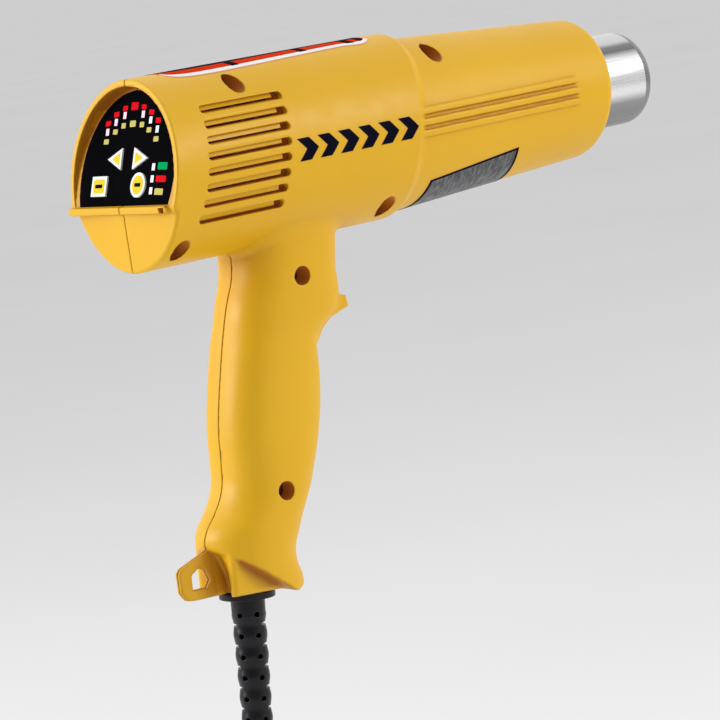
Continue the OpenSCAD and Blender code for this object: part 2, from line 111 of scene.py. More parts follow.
# -------- materials
class Graph:
    """Short calls for the nodes of one material, or of the sky."""

    def __init__(self, name, owners="materials", shader="Principled BSDF", place="Object"):
        self.owner = getattr(bpy.data, owners).new(name)
        self.owner.use_nodes = True
        self.nodes = self.owner.node_tree.nodes
        self.links = self.owner.node_tree.links
        self.shader = self.nodes[shader]
        self.place = self.nodes.new("ShaderNodeTexCoord").outputs[place]

    def feed(self, socket, value):
        """Link an input or set its value."""
        if isinstance(value, bpy.types.NodeSocket):
            self.links.new(value, socket)
        else:
            socket.default_value = (*value, 1) if socket.type == "RGBA" else value

    def node(self, kind, inputs, **settings):
        """A new node with its settings, then its inputs fed by name or number."""
        node = self.nodes.new("ShaderNode" + kind)
        for name, value in settings.items():
            setattr(node, name, value)
        for name, value in inputs.items():
            self.feed(node.inputs[name], value)
        return node

    def noise(self, scale, detail=3.0, place=None):
        inputs = {"Vector": place or self.place, "Scale": scale, "Detail": detail}
        return self.node("TexNoise", inputs).outputs["Fac"]

    def stretched_noise(self, scales):
        mapping = self.node("Mapping", {"Vector": self.place, "Scale": scales})
        return self.noise(1.0, 2.0, mapping.outputs["Vector"])

    def ramp(self, value, stops):
        node = self.node("ValToRGB", {"Fac": value})
        ramp = node.color_ramp
        while len(ramp.elements) < len(stops):
            ramp.elements.new(0.5)
        for element, (at, colour) in zip(ramp.elements, stops):
            element.position = at
            element.color = (*colour, 1) if hasattr(colour, "__len__") else (colour, colour, colour, 1)
        return node.outputs["Color"]

    def blotches(self, scale, low, high, detail=3.0):
        """Noise that wanders between two values or two colours."""
        return self.ramp(self.noise(scale, detail), [(0.3, low), (0.7, high)])

    def ramp(self, value, stops):
        node = self.nodes.new("ShaderNodeValToRGB")
        ramp = node.color_ramp
        while len(ramp.elements) < len(stops):
            ramp.elements.new(0.5)
        for element, (at, colour) in zip(ramp.elements, stops):
            element.position = at
            element.color = (*colour, 1) if hasattr(colour, "__len__") else (colour, colour, colour, 1)
        self.links.new(value, node.inputs["Fac"])
        return node.outputs["Color"]

    def bump(self, height, strength, distance, **under):
        inputs = {"Height": height, "Strength": strength, "Distance": distance}
        return self.node("Bump", {**inputs, **under}).outputs["Normal"]

    def axis(self, name):
        return self.node("SeparateXYZ", {"Vector": self.place}).outputs[name]

    def above(self, value, limit):
        return self.node("Math", {0: value, 1: limit}, operation="GREATER_THAN").outputs["Value"]

    def total(self, a, b):
        """The two values' sum, kept between 0 and 1."""
        return self.node("Math", {0: a, 1: b}, use_clamp=True).outputs["Value"]

    def scaled(self, value, low, high):
        """The value's share of the way from low to high."""
        return self.node("MapRange", {"Value": value, "From Min": low, "From Max": high}).outputs["Result"]

    def mix(self, fac, a, b):
        """Colour a where fac is 0 and b where it is 1."""
        return self.node("Mix", {"Factor": fac, "A": a, "B": b}, data_type="RGBA").outputs["Result"]

    def put(self, name, value):
        self.feed(self.shader.inputs[name], value)


def shades(colour, spread):
    """The colour a little darker and a little lighter."""
    return [tuple(min(1.0, max(0.0, c * (1 + s))) for c in colour) for s in (-spread, spread)]


def moulded(name, colour, rough=0.45, grain=900.0, relief=0.05, spread=0.05, emit=0.0, gloss=0.5):
    """Moulded or painted stuff: cloudy colour, uneven gloss and a fine grain."""
    g = Graph(name)
    dark, light = shades(colour, spread)
    g.put("Base Color", g.blotches(45.0, dark, light, 4.0))
    g.put("Roughness", g.blotches(160.0, rough - 0.05, rough + 0.06))
    g.put("Normal", g.bump(g.noise(grain, 2.0), relief, 0.0004))
    g.put("Specular IOR Level", gloss)
    g.put("IOR", 1.5 if gloss > 0.1 else 1.08)
    if emit:
        g.put("Emission Color", colour)
        g.put("Emission Strength", emit)
    return g.owner


def yellow_plastic():
    """Yellow moulding with painted shade: reddish brown in its nooks, from an ambient occlusion node and
    from the mesh's painted-shade value, with a faint painted glow where that value is highest.
    """
    g = Graph("yellow_plastic")
    base = g.blotches(18.0, (0.750, 0.410, 0.005), (0.785, 0.440, 0.008), 5.0)
    painted_shade = g.node("Attribute", {}, attribute_name="painted_shade").outputs["Fac"]
    # painted shade: ambient occlusion darkens nooks and creases, is added to the mesh's painted-shade value
    # and mixes the colour towards a dark reddish brown
    nooks = g.node("AmbientOcclusion", {"Distance": 0.012}, samples=4).outputs["AO"]
    shadow = g.ramp(nooks, [(0.30, 1.0), (0.85, 0.0)])
    g.put("Base Color", g.mix(g.total(shadow, painted_shade), base, (0.41, 0.140, 0.010)))
    # painted glow: a faint brown emission where the painted shade is strongest, so deep recesses read brown
    # instead of black
    deep = g.ramp(painted_shade, [(0.6, 0.0), (1.0, 0.16)])
    g.put("Emission Color", (0.36, 0.10, 0.02))
    g.put("Emission Strength", deep)
    g.put("Roughness", g.ramp(g.noise(120.0, 4.0), [(0.3, 0.40), (0.72, 0.50)]))
    fine = g.bump(g.noise(1500.0, 2.0), 0.10, 0.0002)
    g.put("Normal", g.bump(g.noise(260.0, 2.0), 0.035, 0.0006, Normal=fine))
    g.put("Specular IOR Level", 0.32)
    return g.owner


def brushed(name, colour, rough, scales=(60.0, 2400.0, 2400.0), relief=0.06):
    return brushed_graph(name, colour, rough, scales, relief).owner


def brushed_graph(name, colour, rough, scales, relief):
    """Turned or drawn metal with fine lines round it."""
    g = Graph(name)
    dark, light = shades(colour, 0.06)
    lines = g.stretched_noise(scales)
    g.put("Base Color", g.blotches(60.0, dark, light, 4.0))
    g.put("Metallic", 1.0)
    g.put("Roughness", g.ramp(lines, [(0.3, rough - 0.06), (0.7, rough + 0.08)]))
    g.put("Normal", g.bump(lines, relief, 0.0002))
    return g


NOZZLE_MOUTH_X = 194.8  # where the nozzle's darker rolled end starts
# painted reflection: bright and dark bands of the tube's colour by height, from its underside to its top
NOZZLE_PAINTED_REFLECTION = [(0.02, 0.05), (0.10, 0.22), (0.27, 0.30), (0.36, 0.74), (0.74, 0.84), (0.81, 0.18),
                (0.86, 0.22), (0.90, 0.62)]


def nozzle_steel():
    """Polished tube with a painted reflection: bright and dark bands in its colour from its underside to its
    top, with a darker rolled end.
    """
    g = brushed_graph("bright_steel", (0.66, 0.66, 0.67), 0.24, (40.0, 2000.0, 2000.0), 0.008)
    # painted reflection bands up the tube's height in its base colour
    tint = g.ramp(g.scaled(g.axis("Z"), (AXIS_Z - 18) * MM, (AXIS_Z + 18) * MM), NOZZLE_PAINTED_REFLECTION)
    at_mouth = g.above(g.axis("X"), (AXIS_X + NOZZLE_MOUTH_X) * MM)
    g.put("Base Color", g.mix(at_mouth, tint, (0.27, 0.27, 0.28)))
    g.put("Metallic", 0.82)
    return g.owner


def printed(name, colour, gloss=0.2):
    return moulded(name, colour, rough=0.55, grain=2500.0, relief=0.03, spread=0.04, gloss=gloss)


def lamp_material(name, left, right, border):
    """Lamp lenses of two tints, one each side of a plane across the panel."""
    g = Graph(name)
    tint = g.mix(g.above(g.axis("Y"), border), right, left)
    g.put("Base Color", tint)
    g.put("Roughness", g.blotches(1200.0, 0.15, 0.25))
    g.put("Normal", g.bump(g.noise(1800.0), 0.05, 0.0002))
    g.put("Emission Color", tint)
    g.put("Emission Strength", 0.35)
    return g.owner


def woven_label():
    """Dark printed film with rows of pale strokes that stand for unreadable small print."""
    g = Graph("data_film")
    strokes = g.stretched_noise((1500.0, 260.0, 260.0))
    g.put("Base Color", g.ramp(strokes, [(0.44, (0.014, 0.015, 0.020)), (0.64, (0.13, 0.135, 0.14))]))
    g.put("Roughness", g.blotches(300.0, 0.35, 0.5))
    g.put("Normal", g.bump(strokes, 0.05, 0.0002))
    return g.owner


YELLOW = yellow_plastic()
PANEL_BLACK = moulded("panel_black", (0.003, 0.003, 0.004), rough=0.5, grain=600.0, relief=0.02, spread=0.2,
                      gloss=0.03)
RUBBER = moulded("black_rubber", (0.004, 0.004, 0.006), rough=0.32, grain=1400.0, relief=0.06, spread=0.15,
                 gloss=0.28)
JACKET = moulded("cord_jacket", (0.014, 0.014, 0.016), grain=1800.0, relief=0.08, spread=0.15)
NOZZLE = nozzle_steel()
WHITE_PRINT = printed("print_white", (0.86, 0.86, 0.84))
YELLOW_PRINT = printed("print_yellow", (0.80, 0.60, 0.04), gloss=0.05)
PALE_YELLOW_PRINT = printed("print_pale_yellow", (0.60, 0.52, 0.15), gloss=0.05)
RED_PRINT = printed("print_red", (0.74, 0.008, 0.016), gloss=0.05)
ORANGE_RED_PRINT = printed("print_orange_red", (0.66, 0.035, 0.004), gloss=0.06)
PINK_PRINT = printed("print_pink", (0.80, 0.42, 0.40))
GREEN_PRINT = printed("print_green", (0.003, 0.36, 0.10), gloss=0.05)
BLACK_PRINT = printed("print_black", (0.006, 0.006, 0.014), gloss=0.06)
DATA_FILM = woven_label()
ARC_LAMPS = lamp_material("arc_lamps", (0.95, 0.56, 0.68), (0.62, 0.74, 0.84), -0.008)
STATUS_LAMPS = moulded("status_lamps", (0.72, 0.68, 0.74), rough=0.2, grain=1500.0, emit=0.3)
CAD_FINISHES = {
    "yellow_shell": YELLOW,
    "panel_black": PANEL_BLACK,
    "key_face": WHITE_PRINT,
    "black_rubber": RUBBER,
    "cord_jacket": JACKET,
    "black_plastic": moulded("black_plastic", (0.015, 0.015, 0.016), rough=0.5, relief=0.08),
    "bright_nozzle": NOZZLE,
    "steel": brushed("plated_steel", (0.50, 0.50, 0.51), rough=0.32),
    "screw_steel": brushed("dark_screw", (0.14, 0.075, 0.045), rough=0.5),
    "aluminium": brushed("aluminium", (0.75, 0.76, 0.78), rough=0.35),
    "brass": brushed("brass", (0.78, 0.58, 0.25), rough=0.28),
    "bronze": brushed("bronze", (0.55, 0.36, 0.18), rough=0.4),
    "magnet": moulded("ferrite", (0.05, 0.05, 0.055), rough=0.6, relief=0.15),
    "board_green": moulded("board_green", (0.015, 0.14, 0.055), rough=0.35, grain=700.0, relief=0.1),
    "chip_black": moulded("chip_black", (0.012, 0.012, 0.013), rough=0.55, relief=0.1),
    "capacitor_yellow": moulded("capacitor", (0.75, 0.48, 0.05), rough=0.3),
    "connector_blue": moulded("connector", (0.03, 0.10, 0.35), rough=0.4),
    "copper_winding": brushed("copper", (0.60, 0.26, 0.12), rough=0.35, scales=(900.0, 900.0, 60.0),
                              relief=0.3),
    "fan_plastic": moulded("fan_nylon", (0.74, 0.70, 0.60)),
    "duct_plastic": moulded("duct_nylon", (0.030, 0.028, 0.026), rough=0.6),
    "mica": moulded("mica", (0.50, 0.40, 0.22), rough=0.4, grain=350.0, relief=0.2, spread=0.2),
    "ceramic_white": moulded("ceramic", (0.78, 0.76, 0.70), rough=0.6, relief=0.12),
    "heater_wire": brushed("heater_wire", (0.30, 0.24, 0.21), rough=0.45),
    "led_red": ARC_LAMPS,
    "led_clear": STATUS_LAMPS,
    "wire_jacket": moulded("wire_jacket", (0.68, 0.68, 0.65), rough=0.55),
    "ribbon_grey": moulded("ribbon", (0.40, 0.40, 0.42), rough=0.5, grain=500.0, relief=0.2),
    "label_red": ORANGE_RED_PRINT,
    "label_dark": DATA_FILM,
}


def finish_cad_nodes():
    for row in frame["record"]["subparts"]:
        mesh = frame["nodes"][row["node"]].data
        mesh.materials.clear()
        mesh.materials.append(CAD_FINISHES[row["material_slot"]])


finish_cad_nodes()


# -------- mesh helpers
def as_piece(name, mesh, material, body="housing"):
    """The mesh as a piece of one material that rides on a body."""
    mesh.materials.append(material)
    piece = placed(name, mesh)
    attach(piece, body)
    return piece


def mesh_object(name, vertices, faces, material, sharp, body="housing"):
    """A mesh piece from row-frame metres that rides on a body, with edges over the sharp angle kept."""
    mesh = bpy.data.meshes.new(name)
    mesh.from_pydata([tuple(v) for v in vertices], [], [tuple(f) for f in faces])
    mesh.validate()
    mesh.shade_smooth()
    mesh.set_sharp_from_angle(angle=math.radians(sharp))
    return as_piece(name, mesh, material, body)


def bevel(piece, width, segments):
    modifier = piece.modifiers.new("edges", "BEVEL")
    modifier.width = width
    modifier.segments = segments
    modifier.limit_method = "ANGLE"
    modifier.angle_limit = math.radians(40)
    modifier.harden_normals = True


def grid_faces(rows, columns, close_rows=False, close_columns=False, first=0):
    """Quads of a grid of vertices numbered row by row from first, closed on itself where asked."""
    faces = []
    for i in range(rows if close_rows else rows - 1):
        a, b = first + i * columns, first + (i + 1) % rows * columns
        for j in range(columns if close_columns else columns - 1):
            n = (j + 1) % columns
            faces.append((a + j, a + n, b + n, b + j))
    return faces


def lathe(profile, count, place):
    """A closed profile of (along, radius) turned about a line, which place() maps to the row frame."""
    vertices = []
    for k in range(count):
        turn = 2 * math.pi * k / count
        for along, radius in profile:
            vertices.append(place(along, radius * math.cos(turn), radius * math.sin(turn)))
    return vertices, grid_faces(count, len(profile), True, True)


def ease(t):
    """A smooth step from 0 to 1 as t goes from 0 to 1."""
    t = np.clip(t, 0, 1)
    return t * t * (3 - 2 * t)


def arc(cx, cy, radius, start, stop, steps):
    """Points of an arc in a profile's own plane, angles in degrees."""
    turns = [math.radians(start + (stop - start) * i / steps) for i in range(steps + 1)]
    return [(cx + radius * math.cos(t), cy + radius * math.sin(t)) for t in turns]


# -------- the cord
CORD_D = 0.007
LEAD = [(-12.6, -176), (-15, -203), (-19, -226), (-27, -246), (-34, -262), (-36, -278)]
COIL_X, COIL_Z, COIL_R = -36.0, -284.0, 42.0
COIL_TURNS = 6
TURN_PITCH = 7.0  # between neighbouring turns in the bundle
TAIL = 36.0
STEPS_A_TURN = 40


def smooth_route(points, steps):
    """A curve through every point."""
    points = np.asarray(points, float)
    ends = np.vstack([2 * points[0] - points[1], points, 2 * points[-1] - points[-2]])
    out = []
    for i in range(1, len(ends) - 2):
        a, b, c, d = ends[i - 1:i + 3]
        for t in np.arange(steps) / steps:
            out.append(0.5 * (2 * b + (c - a) * t + (2 * a - 5 * b + 4 * c - d) * t ** 2
                              + (3 * b - a - 3 * c + d) * t ** 3))
    out.append(points[-1])
    return np.array(out)


def coil_points():
    """Turns side by side in a round bundle: the middle one first, then those round it."""
    places = [(0.0, 0.0)]
    for k in range(COIL_TURNS - 1):
        around = math.radians(30 + 60 * k)
        places.append((TURN_PITCH * math.cos(around), TURN_PITCH * math.sin(around)))
    places.append((TURN_PITCH, 0.0))
    points = []
    for turn in range(COIL_TURNS):
        for i in range(STEPS_A_TURN):
            share = i / STEPS_A_TURN
            swap = ease((share - 0.3) / 0.4)
            out = places[turn][0] * (1 - swap) + places[turn + 1][0] * swap
            aside = places[turn][1] * (1 - swap) + places[turn + 1][1] * swap
            angle = math.pi + 2 * math.pi * share
            radius = COIL_R + out
            points.append((COIL_X + COIL_R + radius * math.cos(angle), aside,
                           COIL_Z + radius * math.sin(angle)))
    return points


def make_cord():
    """The run from the boot, the coil and the tail as one round curve."""
    lead = smooth_route([(x, 0, z) for x, z in LEAD] + [(COIL_X, 0, COIL_Z)], 5)
    points = [tuple(p) for p in lead[:-1]] + coil_points()
    points += [(COIL_X - TURN_PITCH, 0, COIL_Z - drop) for drop in (0, TAIL / 2, TAIL)]
    curve = bpy.data.curves.new("cord", "CURVE")
    curve.dimensions = "3D"
    curve.bevel_depth = CORD_D / 2
    curve.bevel_resolution = 6
    curve.use_fill_caps = True
    spline = curve.splines.new("POLY")
    spline.points.add(len(points) - 1)
    for node, point in zip(spline.points, to_row(points)):
        node.co = (*point, 1)
    curve.materials.append(JACKET)
    cord = placed("cord", curve)
    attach(cord, "housing")
    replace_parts(cord, "power_cord", "cord_coil")
    return cord


cord = make_cord()


PLUG_DROP = 34  # from the coil's middle to the top of the plug
PLUG_SIDES = 48
PLUG_SQUARENESS = 3.2  # 2 is an ellipse
# drop, half size along X and half size along Y
PLUG_PROFILE = [(0, 4.7, 4.7), (3, 4.9, 4.9), (8, 5.6, 5.6), (12, 7.2, 6.4), (15, 9.6, 7.4),
                (19, 10.6, 7.9), (24, 9.4, 7.2), (28, 9.2, 7.0), (32, 10.0, 7.5), (35, 11.0, 8.0),
                (37.2, 11.0, 8.0), (38, 10.4, 7.5)]


def make_plug():
    """Moulded plug body with a waisted grip, in place of the plain block."""
    vertices = []
    power = 2 / PLUG_SQUARENESS
    for drop, half_x, half_y in PLUG_PROFILE:
        for k in range(PLUG_SIDES):
            turn = 2 * math.pi * k / PLUG_SIDES
            c, s = math.cos(turn), math.sin(turn)
            vertices.append(spot(COIL_X - CORD_D / MM + half_x * math.copysign(abs(c) ** power, c),
                                 half_y * math.copysign(abs(s) ** power, s), COIL_Z - PLUG_DROP - drop))
    faces = grid_faces(len(PLUG_PROFILE), PLUG_SIDES, close_columns=True)
    faces.append(tuple(range(PLUG_SIDES)))
    faces.append(tuple(reversed(range(len(vertices) - PLUG_SIDES, len(vertices)))))
    plug = mesh_object("plug_moulding", vertices, faces, RUBBER, 40)
    smooth = plug.modifiers.new("smooth", "SUBSURF")
    smooth.levels = smooth.render_levels = 1
    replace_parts(plug, "plug_body")
    return plug


TIE_INNER, TIE_OUTER, TIE_HALF, TIE_ROUND = 10.6, 12.0, 3.0, 0.6


def make_tie():
    """A strap with rounded edges wound round the bundle."""
    centre = spot(COIL_X, 0, COIL_Z)
    edge_x, edge_r = TIE_HALF - TIE_ROUND, TIE_OUTER - TIE_ROUND
    profile = [(-TIE_HALF, TIE_INNER), (TIE_HALF, TIE_INNER)] + arc(edge_x, edge_r, TIE_ROUND, 0, 90, 4)
    profile += arc(-edge_x, edge_r, TIE_ROUND, 90, 180, 4)
    vertices, faces = lathe(profile, 64, lambda a, b, c: centre + Vector((b, c, a)) * MM)
    tie = mesh_object("cord_strap", vertices, faces, CAD_FINISHES["black_plastic"], 50)
    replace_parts(tie, "cord_tie")
    return tie


plug = make_plug()
tie = make_tie()


# -------- solids as distance fields
def meet(a, b, r):
    """Both solids at once, with the edge between them rounded to r."""
    return np.minimum(-r, np.maximum(a, b)) + np.hypot(np.maximum(r + a, 0), np.maximum(r + b, 0))


def both(*fields):
    """The common part of several solids, with sharp edges."""
    return reduce(np.maximum, fields)


def either(*fields):
    """Several solids as one, with sharp corners between them."""
    return reduce(np.minimum, fields)


def cut(a, b, r):
    """The first solid less the second, with the new edge rounded to r."""
    return meet(a, -b, r)


def join(a, b, r):
    """Either solid, with a fillet of radius r between them."""
    return np.maximum(r, np.minimum(a, b)) - np.hypot(np.maximum(r - a, 0), np.maximum(r - b, 0))


def through(value, knots):
    """A smooth curve through (at, height) knots, for numpy values."""
    at = np.array([k[0] for k in knots], float)
    height = np.array([k[1] for k in knots], float)
    slope = np.gradient(height, at)
    v = np.clip(value, at[0], at[-1])
    i = np.clip(np.searchsorted(at, v) - 1, 0, len(at) - 2)
    span = at[i + 1] - at[i]
    t = (v - at[i]) / span
    a, b, m, n = height[i], height[i + 1], slope[i] * span, slope[i + 1] * span
    return a + t * (m + t * (3 * (b - a) - 2 * m - n + t * (2 * (a - b) + m + n)))


def polygon_field(u, v, outline):
    """Signed distance to a closed outline in a plane."""
    distance = np.full(np.shape(u), 1e9)
    inside = np.zeros(np.shape(u), bool)
    for (ax, ay), (bx, by) in zip(outline, outline[1:] + outline[:1]):
        ex, ey = bx - ax, by - ay
        t = np.clip(((u - ax) * ex + (v - ay) * ey) / (ex * ex + ey * ey), 0, 1)
        distance = np.minimum(distance, np.hypot(u - ax - t * ex, v - ay - t * ey))
        crosses = (ay > v) != (by > v)
        inside ^= crosses & (u < ax + (v - ay) * ex / (ey if ey else 1e-9))
    return np.where(inside, -distance, distance)


def box_field(x, y, z, low, high, r):
    """A box with its edges rounded to r."""
    parts = [np.abs(p - (a + b) / 2) - (b - a) / 2 + r for p, a, b in zip((x, y, z), low, high)]
    outside = np.sqrt(sum(np.maximum(p, 0) ** 2 for p in parts))
    return outside + np.minimum(both(*parts), 0) - r


def sampled(field, p):
    """The field at many points, worked out in parts side by side."""
    parts = np.array_split(p, max(1, len(p) // 20000))
    with ThreadPoolExecutor(4) as pool:
        return np.concatenate(list(pool.map(lambda q: field(*q.T), parts)))


CORNERS = np.array([(1, -1, -1), (-1, -1, 1), (-1, 1, -1), (1, 1, 1)], float)


def slope_of(field, p, step=0.04):
    """The field's direction of growth, from four points round each one."""
    g = sum(corner * sampled(field, p + step * corner)[:, None] for corner in CORNERS)
    return g / np.maximum(np.linalg.norm(g, axis=1, keepdims=True), 1e-12)


BLOCK = 4


def grid_values(field, low, size, pitch):
    """The field on a grid, worked out closely only in the blocks that its surface may cross."""
    blocks = -(-size // BLOCK)
    index = np.stack(np.meshgrid(*[np.arange(n) for n in blocks], indexing="ij"), -1).reshape(-1, 3)
    centre = low + pitch * (index * BLOCK + (BLOCK - 1) / 2)
    rough = sampled(field, centre)
    near = index[np.abs(rough) < 1.3 * pitch * BLOCK]
    value = np.repeat(np.repeat(np.repeat(rough.reshape(blocks), BLOCK, 0), BLOCK, 1), BLOCK, 2)
    inner = np.stack(np.meshgrid(*[np.arange(BLOCK)] * 3, indexing="ij"), -1).reshape(-1, 3)
    nodes = (near[:, None, :] * BLOCK + inner[None]).reshape(-1, 3)
    value[tuple(nodes.T)] = sampled(field, low + pitch * nodes)
    return value


PULL_TO_MEAN = 0.03  # holds a vertex near its crossings where the surface is flat


def solid_mesh(field, low, high, pitch):
    """Dual contouring of a field: vertices, quads and the normal at each quad's corners."""
    low, high = np.array(low, float), np.array(high, float)
    value = grid_values(field, low, np.ceil((high - low) / pitch).astype(int) + 1, pitch)
    inside = value < 0
    units = np.eye(3, dtype=int)
    points, cells, quads = [], [], []
    for axis in range(3):
        near, far = [slice(None)] * 3, [slice(None)] * 3
        near[axis], far[axis] = slice(0, -1), slice(1, None)
        hit = np.argwhere(inside[tuple(near)] != inside[tuple(far)])
        a = value[tuple(hit.T)]
        b = value[tuple((hit + units[axis]).T)]
        points.append(low + pitch * (hit + (a / (a - b))[:, None] * units[axis]))
        u, v = units[(axis + 1) % 3], units[(axis + 2) % 3]
        around = np.stack([hit - u - v, hit - v, hit, hit - u], 1)
        ids = np.ravel_multi_index(tuple(np.moveaxis(around, -1, 0)), value.shape)
        cells.append(ids)
        quads.append(np.where((a < 0)[:, None], ids, ids[:, ::-1]))
    p = np.concatenate(points)
    normal = slope_of(field, p)
    known, index = np.unique(np.concatenate(cells).ravel(), return_inverse=True)
    count = np.bincount(index).astype(float)

    def gathered(weights):
        """Each cell's sum of a weight over the crossings on its edges."""
        return np.bincount(index, weights=np.repeat(weights, 4))

    mean = np.stack([gathered(p[:, k]) for k in range(3)], 1) / count[:, None]
    pull = PULL_TO_MEAN * count
    matrix = np.empty((len(known), 3, 3))
    for r in range(3):
        for c in range(3):
            matrix[:, r, c] = gathered(normal[:, r] * normal[:, c]) + (pull if r == c else 0)
    along = (normal * p).sum(1)
    right = np.stack([gathered(normal[:, k] * along) for k in range(3)], 1) + pull[:, None] * mean
    vertex = np.linalg.solve(matrix, right[:, :, None])[:, :, 0]
    corner = low + pitch * np.stack(np.unravel_index(known, value.shape), 1)
    vertex = np.clip(vertex, corner, corner + pitch)
    lookup = np.searchsorted(known, np.concatenate(quads))
    middle = vertex[lookup].mean(1)
    corners = 0.6 * vertex[lookup] + 0.4 * middle[:, None, :]
    return vertex, lookup, slope_of(field, corners.reshape(-1, 3))


def field_piece(name, field, low, high, pitch, material, place, turn, mirrored=False, painted_shade=None):
    """A piece whose surface is a field's zero level; place and turn take it to the row frame."""
    vertex, quads, normals = solid_mesh(field, low, high, pitch)
    if mirrored:
        quads = quads[:, ::-1]
        normals = normals.reshape(-1, 4, 3)[:, ::-1].reshape(-1, 3)
    mesh = bpy.data.meshes.new(name)
    mesh.vertices.add(len(vertex))
    mesh.vertices.foreach_set("co", place(vertex).astype(np.float32).ravel())
    mesh.loops.add(quads.size)
    mesh.loops.foreach_set("vertex_index", quads.astype(np.int32).ravel())
    mesh.polygons.add(len(quads))
    mesh.polygons.foreach_set("loop_start", (np.arange(len(quads)) * 4).astype(np.int32))
    mesh.polygons.foreach_set("loop_total", np.full(len(quads), 4, np.int32))
    mesh.update(calc_edges=True)
    mesh.shade_smooth()
    mesh.normals_split_custom_set(turn(normals).tolist())
    # the painted-shade value at each vertex, which the yellow material turns into painted shade and a faint
    # painted glow
    if painted_shade:
        layer = mesh.attributes.new("painted_shade", "FLOAT", "POINT")
        layer.data.foreach_set("value", painted_shade(vertex).astype(np.float32))
    return as_piece(name, mesh, material)


# -------- the housing
DRUM_R = 33.0
WALL = 2.5
FRONT_R0, FRONT_R1, FRONT_X = 31.0, 25.9, 171.8
PANEL_X, PANEL_Z = -36.6, -9.3
PANEL_LEAN = math.radians(19)
RIM_LEAN = math.radians(12)
PROW = math.radians(2.5)
FRONT_LEAN = math.radians(4)
SCREWS = [(2.8, 26), (-29.5, -26.2), (61, -26.6), (92.3, 23.7), (21.5, -44.4), (1.5, -117)]
SCREW_R, POST_R = 3.35, 4.7
REAR_X = -37  # the drum's rear edge
MOUTH_R, MOUTH_FROM = 18.2, 160  # the bore that the nozzle leaves by
BOOT_TOP = (-10.4, -151.0)
BOOT_BORE, BOOT_SLOPE = 6.3, 0.0875
SCREW_SEAT = 7.9  # how far off the middle plane the recesses end
RIBS, RIB_FROM, RIB_TO = (4.9, 0.9, -3.1), 70, 151
# the grip by height: its back, front, half width and how square its section is
GRIP_BACK = [(-152, -26), (-132, -25.1), (-129.5, -24.8), (-126.5, -23.2), (-122.7, -19.9), (-118, -16.5),
             (-113.8, -14.5), (-105, -13.0), (-95.6, -12.2), (-72.1, -7), (-60.8, -3.8), (-50.4, -0.2),
             (-43.5, 2.9), (-24, 5)]
GRIP_FRONT = [(-156, 9.6), (-151, 10.4), (-148, 10.1), (-144, 8.9), (-139, 8.9), (-132, 12.2), (-124, 16.5),
              (-118, 19.6), (-113, 21.4), (-104, 24.6), (-88, 28.8), (-79, 30.0), (-73, 30.3), (-68.7, 30.8),
              (-65, 33.2), (-62, 37.4), (-59, 41.8), (-55.5, 43.4), (-44, 43.6), (-34, 44.8), (-24, 46)]
GRIP_HALF = [(-152, 17.0), (-130, 16.9), (-118, 16.6), (-100, 16.4), (-60, 16.4), (-44, 17.4), (-24, 19)]
GRIP_POWER = [(-130, 2.2), (-118, 2.3), (-108, 2.55), (-40, 2.7)]
# side outlines of the finger rest, the hanging loop, its hole and the foot
HOOK = [(32, -50), (40, -54.4), (45.4, -55.8), (45.8, -60.0), (42.4, -60.8), (37.2, -62.6), (33.2, -65.6),
        (29.8, -70), (24, -72)]
LOOP = [(-18, -130), (-23.3, -132.6), (-37.0, -137.0), (-38.4, -138.6), (-38.5, -145.6), (-36.4, -148.6),
        (-33.5, -149.2), (-18, -150)]
LOOP_HOLE = [(-33.4, -140.2), (-29.6, -138.2), (-27.2, -139.8), (-25.8, -143.4), (-27.6, -145.9),
             (-33.6, -145.5)]
FOOT = [(-18, -129), (-22.4, -134.5), (-23.4, -149.8), (-1.5, -151.8), (2.5, -149.5), (4, -129)]
FOOT_HALF, LOOP_HALF, HOOK_HALF = 11.5, 1.4, 9.5
VENTS, VENT_TOP, VENT_PITCH, VENT_HALF = 8, 19.7, 5.2, 1.35
LOUVRE_R = 31.5  # the louvres behind the vents fill this radius
SEAM_HALF = 0.2


def front_radius(x):
    return FRONT_R0 + (FRONT_R1 - FRONT_R0) * (x - 78) / 92


def barrel_radius(x, z):
    """The outside radius, stepping down past a shoulder that leans and curves with height."""
    shoulder = 73 + 0.2 * z + 0.0045 * z * z
    step = ease((x - shoulder) / 5 + 0.5)
    return DRUM_R * (1 - step) + front_radius(np.maximum(x, 70)) * step


def panel_depth(x, z):
    """The distance behind the key panel's face."""
    return (x - PANEL_X) * math.cos(PANEL_LEAN) - (z - PANEL_Z) * math.sin(PANEL_LEAN)


def panel_height(x, z):
    """The distance up the key panel's face from its lower edge."""
    return (x - PANEL_X) * math.sin(PANEL_LEAN) + (z - PANEL_Z) * math.cos(PANEL_LEAN)


def grip_section(z):
    """The middle, half depth and half width of the grip at a height."""
    back, front = through(z, GRIP_BACK), through(z, GRIP_FRONT)
    return (back + front) / 2, (front - back) / 2, through(z, GRIP_HALF)


def barrel_field(x, y, z):
    rho = np.hypot(y, z)
    body = rho - barrel_radius(x, z)
    for height in RIBS:
        line = np.hypot(both(RIB_FROM - x, x - RIB_TO, 0), z - height) - 1.3
        body = join(body, meet(line, rho - front_radius(x) - 1.4, 0.9), 0.5)
    rim = (REAR_X - x) * math.cos(RIM_LEAN) + (z - PANEL_Z) * math.sin(RIM_LEAN)
    prow = (REAR_X - x) * math.cos(PROW) + np.abs(y) * math.sin(PROW)
    lower = ease((-9.5 - z) / 4)
    body = (1 - lower) * meet(body, rim, 0.7) + lower * meet(body, prow, 1.3)
    front = (x - FRONT_X) * math.cos(FRONT_LEAN) - z * math.sin(FRONT_LEAN)
    return meet(body, front, 4.6)


def skirt_field(x, z):
    """The slanting underside where the grip's flare ends above the foot."""
    return -(x + 26) * 0.62 - (z + 132.4) * 0.785


def grip_field(x, y, z):
    middle, deep, half = grip_section(z)
    power = through(z, GRIP_POWER)
    ring = ((np.abs(x - middle) / deep) ** power + (np.abs(y) / half) ** power) ** (1 / power)
    side = (ring - 1) * np.minimum(deep, half)
    return meet(meet(side, skirt_field(x, z), 1.3), both(-153.6 - z, z + 8), 2.5)


